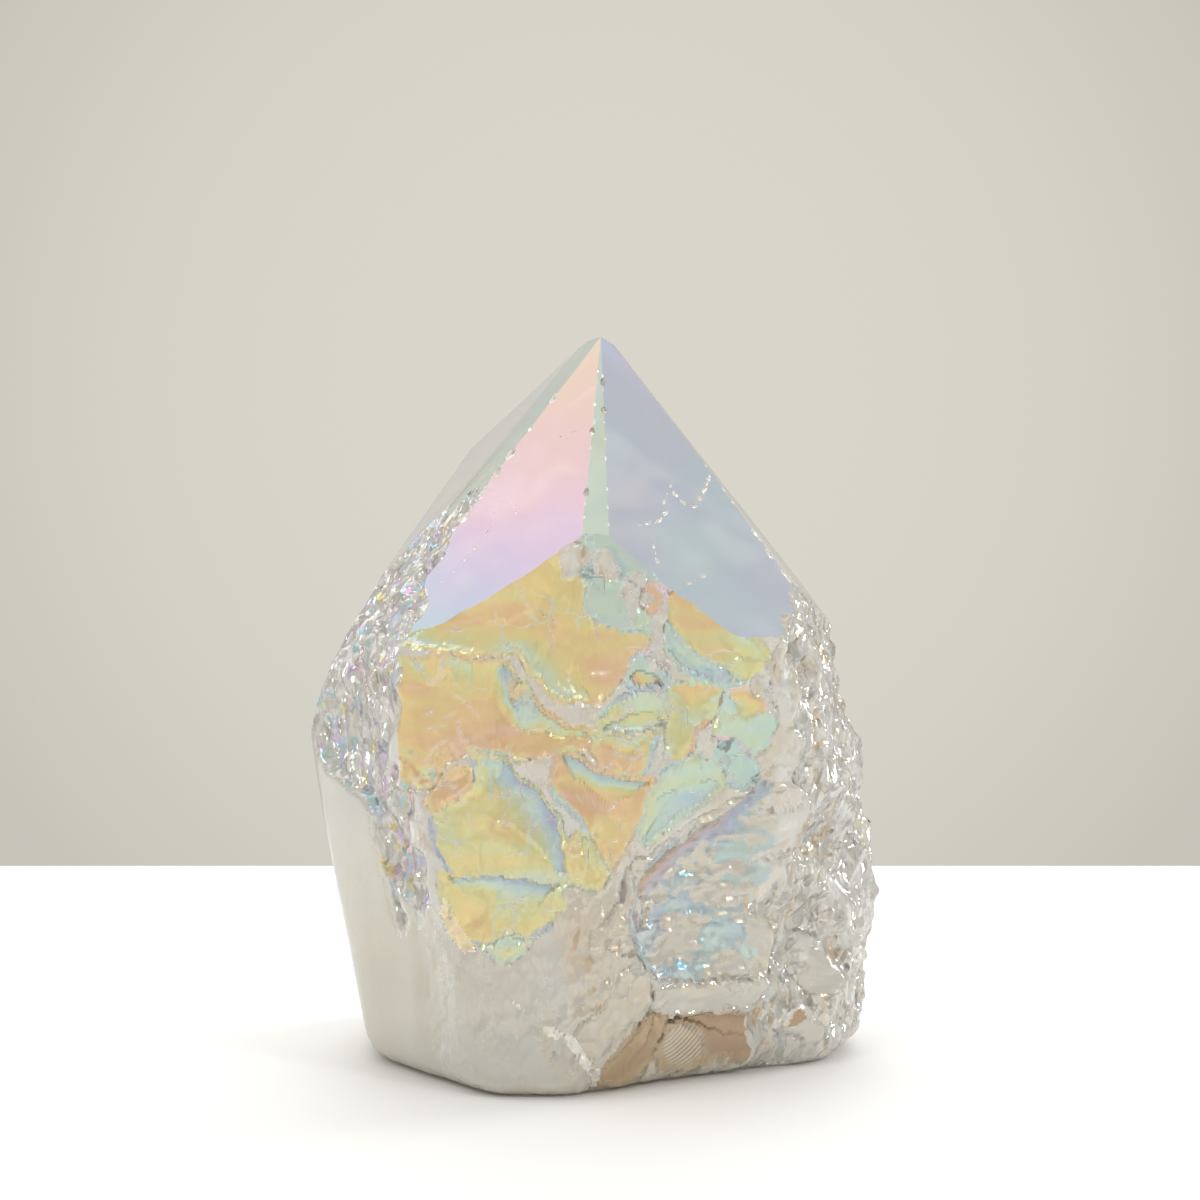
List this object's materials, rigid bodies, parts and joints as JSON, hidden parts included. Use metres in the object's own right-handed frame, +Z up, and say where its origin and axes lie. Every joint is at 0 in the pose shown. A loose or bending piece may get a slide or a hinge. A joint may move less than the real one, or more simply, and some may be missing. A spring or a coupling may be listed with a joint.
{
  "type": "aura quartz point",
  "caption": "Free-standing quartz crystal with a ground and polished pointed tip, rough broken sides, a sawn flat base and a thin iridescent coating.",
  "frame": {"origin": "on the sawn base, straight under the tip", "axes": "+Z up through the tip, -Y out of the broad rough front, +X to the right as seen from the front"},
  "size_m": [0.0787, 0.0583, 0.1],
  "materials": {
    "aura_quartz": "clear to milky quartz with a thin iridescent metal-oxide film: polished on the tip, frosted and splintery on the broken sides"
  },
  "bodies": {
    "root": {"quartz_point": "aura_quartz"}
  },
  "joints": []
}
